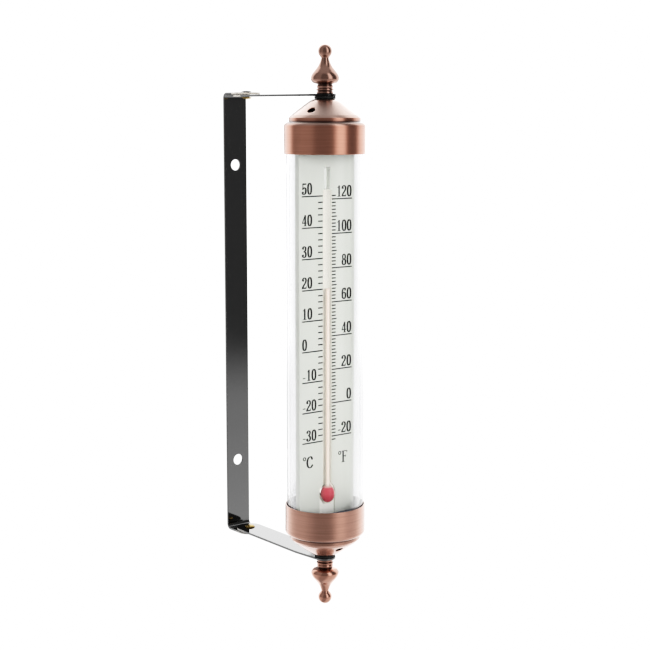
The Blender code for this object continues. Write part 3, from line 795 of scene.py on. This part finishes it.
def ellipse(centre, rx, ry, square, steps=40):
    """Points round an ellipse, squarer the further `square` is below one."""
    points = []
    for i in range(steps + 1):
        angle = math.radians(360 * i / steps)
        c, s = math.cos(angle), math.sin(angle)
        points.append((centre[0] + rx * math.copysign(abs(c) ** square, c),
                       centre[1] + ry * math.copysign(abs(s) ** square, s)))
    return points


def glyph_parts():
    """Condensed serif digits and unit signs, as strokes, discs and bars in a box one em high.

    A stroke is drawn with a broad pen, thick where it runs upright and thin where it runs level.
    """
    def stroke(points, weight, per_span=5):
        return ("stroke", smooth_curve(points, per_span), weight)

    def loop(centre, rx, ry, weight, square=0.85):
        return ("stroke", ellipse(centre, rx, ry, square), weight)

    zero = [loop((0.25, 0.5), 0.17, 0.474, 1.0)]
    one = [("bar", (0.19, 0.02, 0.35, 1.0)), ("bar", (0.08, 0.0, 0.46, 0.05)),
           ("line", (0.30, 0.955), (0.10, 0.80), 0.035, 0.022)]
    two = [("disc", (0.13, 0.745), 0.082),
           stroke([(0.065, 0.77), (0.12, 0.91), (0.25, 0.972), (0.375, 0.89), (0.405, 0.72), (0.35, 0.55),
                   (0.22, 0.37), (0.11, 0.20), (0.06, 0.07)], 0.95),
           ("line", (0.07, 0.06), (0.40, 0.06), 0.055, 0.060),
           ("line", (0.42, 0.07), (0.455, 0.25), 0.035, 0.020)]
    three = [("disc", (0.13, 0.80), 0.076), ("disc", (0.12, 0.205), 0.080),
             stroke([(0.07, 0.82), (0.13, 0.925), (0.24, 0.972), (0.365, 0.89), (0.375, 0.74),
                     (0.31, 0.59), (0.19, 0.53)], 0.9),
             stroke([(0.19, 0.53), (0.34, 0.46), (0.40, 0.28), (0.36, 0.10), (0.23, 0.028),
                     (0.11, 0.08), (0.06, 0.18)], 1.0)]
    four = [("line", (0.33, 0.95), (0.055, 0.30), 0.045, 0.042), ("bar", (0.02, 0.235, 0.48, 0.32)),
            ("bar", (0.26, 0.0, 0.415, 0.97)), ("bar", (0.17, 0.0, 0.48, 0.045))]
    five = [("line", (0.12, 0.925), (0.41, 0.93), 0.070, 0.055),
            ("line", (0.105, 0.93), (0.100, 0.50), 0.040, 0.036),
            stroke([(0.10, 0.49), (0.17, 0.57), (0.27, 0.60), (0.38, 0.51), (0.405, 0.32), (0.36, 0.11),
                    (0.23, 0.028), (0.11, 0.07), (0.06, 0.16)], 1.0),
            ("disc", (0.125, 0.195), 0.080)]
    six = [stroke([(0.40, 0.86), (0.35, 0.95), (0.26, 0.972), (0.15, 0.89), (0.09, 0.66),
                   (0.083, 0.40), (0.11, 0.14), (0.25, 0.03)], 1.0),
           ("disc", (0.37, 0.80), 0.075), loop((0.255, 0.31), 0.16, 0.283, 0.95)]
    eight = [loop((0.25, 0.745), 0.135, 0.228, 0.85), loop((0.25, 0.27), 0.165, 0.243, 1.0)]
    minus = [("bar", (0.05, 0.22, 0.33, 0.30))]
    ring = [loop((0.12, 0.85), 0.105, 0.125, 0.42, square=1.0)]
    letter_c = [stroke([(0.50, 0.78), (0.44, 0.93), (0.31, 0.975), (0.15, 0.84), (0.075, 0.5), (0.15, 0.15),
                        (0.31, 0.028), (0.44, 0.09), (0.52, 0.22)], 0.85, 6),
                ("line", (0.49, 0.98), (0.50, 0.72), 0.020, 0.032)]
    letter_f = [("bar", (0.09, 0.0, 0.215, 1.0)), ("bar", (0.02, 0.945, 0.50, 1.0)),
                ("bar", (0.15, 0.49, 0.36, 0.555)), ("bar", (0.0, 0.0, 0.30, 0.05)),
                ("line", (0.485, 0.98), (0.50, 0.82), 0.025, 0.02),
                ("line", (0.37, 0.60), (0.37, 0.44), 0.020, 0.020)]
    return {"0": zero, "1": one, "2": two, "3": three, "4": four, "5": five, "6": six, "8": eight, "-": minus,
            "o": ring, "C": letter_c, "F": letter_f}


# How far the next letter is from this one's left end, in ems.
DIGIT_ADVANCE = 0.55
ADVANCE = {"-": 0.42, "o": 0.28, "C": 0.56, "F": 0.54}


def glyph_field(parts, x, y):
    """Signed distance from each grid point to the glyph, negative inside the ink."""
    field = np.full(x.shape, 1.0)

    def capsule(a, b, wa, wb):
        ax, ay, bx, by = *a, *b
        length = (bx - ax) ** 2 + (by - ay) ** 2 + 1e-12
        t = np.clip(((x - ax) * (bx - ax) + (y - ay) * (by - ay)) / length, 0, 1)
        return np.hypot(x - ax - t * (bx - ax), y - ay - t * (by - ay)) - (wa + t * (wb - wa))

    for kind, *values in parts:
        if kind == "disc":
            (cx, cy), radius = values
            field = np.minimum(field, np.hypot(x - cx, y - cy) - radius)
        elif kind == "bar":
            left, low, right, high = values[0]
            across = np.abs(x - (left + right) / 2) - (right - left) / 2
            up = np.abs(y - (low + high) / 2) - (high - low) / 2
            field = np.minimum(field, np.maximum(across, up))
        elif kind == "line":
            field = np.minimum(field, capsule(*values))
        else:
            points, weight = values
            steps = [(a, b, abs(b[1] - a[1]) / (math.hypot(b[0] - a[0], b[1] - a[1]) + 1e-9))
                     for a, b in zip(points, points[1:])]
            for a, b, upright in steps:
                width = THIN + (THICK * weight - THIN) * upright ** 1.6
                field = np.minimum(field, capsule(a, b, width, width))
    return field


# For each way a cell's corners can lie inside the ink: the sides an outline enters and leaves by.
CROSSINGS = {1: [(0, 3)], 2: [(1, 0)], 3: [(1, 3)], 4: [(2, 1)], 5: [(0, 3), (2, 1)], 6: [(2, 0)],
             7: [(2, 3)], 8: [(3, 2)], 9: [(0, 2)], 10: [(1, 0), (3, 2)], 11: [(1, 2)], 12: [(3, 1)],
             13: [(0, 1)], 14: [(3, 0)]}


def outlines(parts, cell=0.02):
    """Closed loops round the ink, by marching squares."""
    xs = np.arange(-0.06, 0.66, cell)
    ys = np.arange(-0.06, 1.08, cell)
    x, y = np.meshgrid(xs, ys)
    field = glyph_field(parts, x, y)
    inside = field < 0
    ahead, places = {}, {}

    def side_key(i, j, side):
        return (("h", i, j), ("v", i + 1, j), ("h", i, j + 1), ("v", i, j))[side]

    def place(key):
        kind, i, j = key
        other = (i + 1, j) if kind == "h" else (i, j + 1)
        a, b = field[j, i], field[other[1], other[0]]
        t = a / (a - b)
        return (xs[i] + t * cell, ys[j]) if kind == "h" else (xs[i], ys[j] + t * cell)

    for j in range(len(ys) - 1):
        for i in range(len(xs) - 1):
            code = inside[j, i] + 2 * inside[j, i + 1] + 4 * inside[j + 1, i + 1] + 8 * inside[j + 1, i]
            for enter, leave in CROSSINGS.get(int(code), []):
                start, end = side_key(i, j, enter), side_key(i, j, leave)
                ahead[start] = end
                places[start], places[end] = place(start), place(end)
    loops = []
    while ahead:
        start = next(iter(ahead))
        loop, key = [], start
        while key in ahead:
            loop.append(places[key])
            key = ahead.pop(key)
        loops.append(loop)
    return loops


def text_width(text, wide=EM * WIDEN):
    return sum(ADVANCE.get(letter, DIGIT_ADVANCE) for letter in text) * wide


def printed_text(name, labels, glyphs, tall=EM, wide=EM * WIDEN):
    """One flat inked mesh for several labels of (text, left end, bottom); sizes of one em."""
    curve = bpy.data.curves.new(name, "CURVE")
    curve.dimensions = "2D"
    curve.fill_mode = "BOTH"
    curve.extrude = (INK_PROUD + INK_DEEP) / 2
    for text, left, bottom in labels:
        for letter in text:
            for loop in glyphs[letter]:
                spline = curve.splines.new("POLY")
                spline.points.add(len(loop) - 1)
                for point, (x, y) in zip(spline.points, loop):
                    point.co = (left + x * wide, bottom + y * tall, 0, 1)
                spline.use_cyclic_u = True
            left += text_width(letter, wide)
    holder = add_object(name, curve)
    mesh = final_mesh(holder)
    bpy.data.objects.remove(holder)
    upright = Matrix.Rotation(math.radians(90), 4, "X")
    mesh.transform(Matrix.Translation((0, PLATE_FRONT - (INK_PROUD - INK_DEEP) / 2, 0)) @ upright)
    return add_object(name, mesh)


def printed_lines(name, lines):
    """One mesh of thin inked bars, each from x to x at a height."""
    bm = bmesh.new()
    for start, end, z in lines:
        low = Vector((min(start, end), PLATE_FRONT - INK_PROUD, z - LINE_THICKNESS / 2))
        high = Vector((max(start, end), PLATE_FRONT + INK_DEEP, z + LINE_THICKNESS / 2))
        made = bmesh.ops.create_cube(bm, size=1.0)["verts"]
        bmesh.ops.scale(bm, vec=high - low, verts=made)
        bmesh.ops.translate(bm, vec=(high + low) / 2, verts=made)
    return from_bmesh(name, bm)


def print_scale(ink):
    """Ticks every two degrees on both sides, long lines and numerals at the main marks."""
    glyphs = {letter: outlines(parts) for letter, parts in glyph_parts().items()}
    short_c, short_f, ten_f = 0.0027, 0.00235, 0.0029
    lines_c = []
    for degrees in range(-30, 51, 2):
        long = degrees % 10 == 0
        lines_c.append((-INNER, -OUTER if long else -INNER - short_c, celsius_z(degrees)))
    lines_f = []
    for degrees in range(-22, 123, 2):
        reach = OUTER if degrees % 20 == 0 else INNER + (ten_f if degrees % 10 == 0 else short_f)
        lines_f.append((INNER, reach, fahrenheit_z(degrees)))
    above = 0.00095
    labels_c = [(str(degrees), -OUTER, celsius_z(degrees) + above) for degrees in range(-30, 51, 10)]
    labels_f = [(str(degrees), OUTER - text_width(str(degrees)), fahrenheit_z(degrees) + above)
                for degrees in range(-20, 121, 20)]
    units_z = -0.0645
    units = [("oC", -0.0144, units_z), ("oF", 0.0068, units_z)]
    for piece in (printed_lines("celsius_marks", lines_c), printed_lines("fahrenheit_marks", lines_f),
                  printed_text("celsius_numerals", labels_c, glyphs),
                  printed_text("fahrenheit_numerals", labels_f, glyphs),
                  printed_text("unit_signs", units, glyphs, 0.0056, 0.0068)):
        dress(piece, ink, "thermometer", "scale_white")


# ---------------------------------------------------------------- stage, light and camera

PAPER_WHITE = 1.05


def turned_share(g, vector, around):
    """A level that changes with the compass direction of a vector: (degrees from +X, level) stops."""
    x, y, _ = g.split(vector)
    turn = g.math("ARCTAN2", y, x)
    share = g.math("FRACT", g.math("DIVIDE", g.math("ADD", turn, 4 * math.pi), 2 * math.pi))
    brightest = max(value for _, value in around)
    level = g.ramp(share, [(degrees / 360, value / brightest) for degrees, value in around])
    return g.product(level, brightest)


def two_faced(g, kind, strength, shown):
    """White light of one strength on the scene, and of another strength to the camera."""
    lit, seen = (g.shader(kind, Color=(1, 1, 1, 1), Strength=value) for value in (strength, shown))
    return g.blend(g.path("Is Camera Ray"), lit, seen)


def stage():
    """A pale round floor below the object that glows, painted light on the object brighter from behind it,
    fading out at its edge.
    """
    level, inner, outer = -0.25, 0.95, 1.60
    bm = bmesh.new()
    bmesh.ops.create_circle(bm, cap_ends=True, segments=96, radius=outer * 1.02)
    floor = from_bmesh("floor", bm, (0, 0, level))
    g = start_material("glowing_floor")
    point = g.coordinates()
    distance = g.node("ShaderNodeVectorMath", {0: point}, operation="LENGTH").outputs["Value"]
    around = [(0, 0.95), (100, 0.9), (128, 0.6), (150, 0.48), (180, 0.46), (200, 0.34), (215, 0.26),
              (250, 0.26), (270, 0.5), (290, 0.5), (305, 0.56), (325, 0.6), (345, 0.9), (360, 0.95)]
    uneven = g.product(g.rise(distance, 0.3, 0.9, 1.3, 0.95), g.scaled(g.noise(point, 3.0, 2.0), 0.1, 0.95))
    # Painted light: the floor glows, lighting the object from below, more from behind it; to the camera it is
    # plain paper white.
    pale = two_faced(g, "ShaderNodeEmission", g.product(turned_share(g, point, around), uneven), PAPER_WHITE)
    fade = g.rise(distance, inner, outer, kind="SMOOTHSTEP")
    floor.data.materials.append(g.finish(g.blend(fade, pale, g.clear())))


def surroundings():
    """Bright paper behind the object, a dim room in front of it and one tall soft light."""
    world = bpy.data.worlds.new("studio")
    bpy.context.scene.world = world
    g = Graph(world)
    direction = g.node("ShaderNodeTexCoord").outputs["Generated"]
    paper, wall, dim, dark, lamp, ceiling = 1.1, 1.8, 0.33, 0.14, 1.15, 0.37
    around = [(0, paper), (22, paper), (36, wall), (68, wall), (84, paper), (116, paper), (132, 0.24),
              (160, dim), (194, dim), (206, 0.20), (256, 0.20), (269, lamp), (287, lamp), (298, dark),
              (328, dark), (348, paper), (360, paper)]
    overhead = g.rise(g.split(direction)[2], 0.78, 0.97, kind="SMOOTHSTEP")
    strength = g.node("ShaderNodeMix", {"Factor": overhead, "A": turned_share(g, direction, around),
                                        "B": ceiling}, data_type="FLOAT").outputs[0]
    g.node("ShaderNodeOutputWorld", {"Surface": two_faced(g, "ShaderNodeBackground", strength, PAPER_WHITE)})


def camera_response():
    """A film-like curve: firm shadows and a soft shoulder, with paper white at one."""
    view = bpy.context.scene.view_settings
    view.view_transform = "Standard"
    view.use_curve_mapping = True
    steep, knee = 1.6, 0.3
    curve = view.curve_mapping.curves[3]
    for level in (0.02, 0.05, 0.1, 0.17, 0.25, 0.35, 0.5, 0.65, 0.8):
        curve.points.new(level, (1 + knee) * level ** steep / (level ** steep + knee))
    view.curve_mapping.extend = "HORIZONTAL"
    view.curve_mapping.update()


def point_along(item, direction):
    item.rotation_euler = direction.to_track_quat("-Z", "Y").to_euler()


def camera():
    """Level with the upper part of the tube, from the front and left, aimed at the tube's axis."""
    data = bpy.data.cameras.new("camera")
    data.lens = 80.99
    data.sensor_width = 36
    data.dof.use_dof = False
    heading, pitch, distance, height = math.radians(37.85), math.radians(8.379), 0.68425, 0.1038
    across = Vector((math.sin(heading), math.cos(heading), 0))
    view = add_object("camera", data, Vector((0, TUBE_Y, height)) - across * distance)
    point_along(view, across * math.cos(pitch) - Vector((0, 0, math.sin(pitch))))
    bpy.context.scene.camera = view


def soft_light(name, location, power):
    """A round soft light aimed at the tube, and not mirrored in the metal."""
    data = bpy.data.lights.new(name, "AREA")
    data.shape = "DISK"
    data.size = 0.6
    data.energy = power
    light = add_object(name, data, location)
    point_along(light, Vector((0, TUBE_Y, 0)) - Vector(location))
    light.visible_glossy = False


def main():
    camera()
    surroundings()
    stage()
    camera_response()
    soft_light("fill", (-0.1, -1.4, 0.24), 11.3)
    soft_light("side_fill", (-1.3, -0.35, 0.25), 5.0)
    brass = worn_brass()
    strip_paint = black_paint("gloss_black_paint", bare_from=-0.0200, bare_to=-0.0075)
    arm_paint = black_paint("arm_black_paint", bare_from=-0.0045, bare_to=0.0100)
    cap_copper = {
        "upper": turned_copper("polished_copper", 0.35, 0.30, side_dust_sheen=0.0, top_dust_sheen=0.75),
        "lower": turned_copper("brushed_copper", 0.7, 0.34, side_dust_sheen=0.2, top_dust_sheen=0.2)}
    coarse = {"fineness": 3000.0, "anisotropy": 0.0}
    finial_copper = {
        # The upper finial's copper is a darker, shaded copy of the lower one's: painted shade.
        "upper": turned_copper("dark_turned_copper", 0.4, 0.17, 0.25, 0.30, shade_darkening=0.30, **coarse),
        "lower": turned_copper("turned_copper", 0.4, 0.17, 0.10, 0.15, **coarse)}
    washer_rubber, plug_dark = rubber("washer_rubber", 0.012), plug_plastic()
    bracket(strip_paint)
    for label, side in ENDS.items():
        rivet(label, side, brass)
        arm(label, side, arm_paint)
        cap(label, side, cap_copper[label])
        finial(label, side, finial_copper[label])
        washer(label, side, washer_rubber)
        plug(label, side, plug_dark)
    tube(clear_plastic())
    plate(scale_plastic())
    print_scale(printing_ink())
    stem_and_spirit(stem_glass(), red_spirit())
    steel, seal_rubber = zinc_steel(), rubber("seal_rubber", 0.02)
    for label in ENDS:
        for node, material in ((f"{label}_screw", steel), (f"{label}_seal", seal_rubber)):
            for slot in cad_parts[node].material_slots:
                slot.material = material


main()
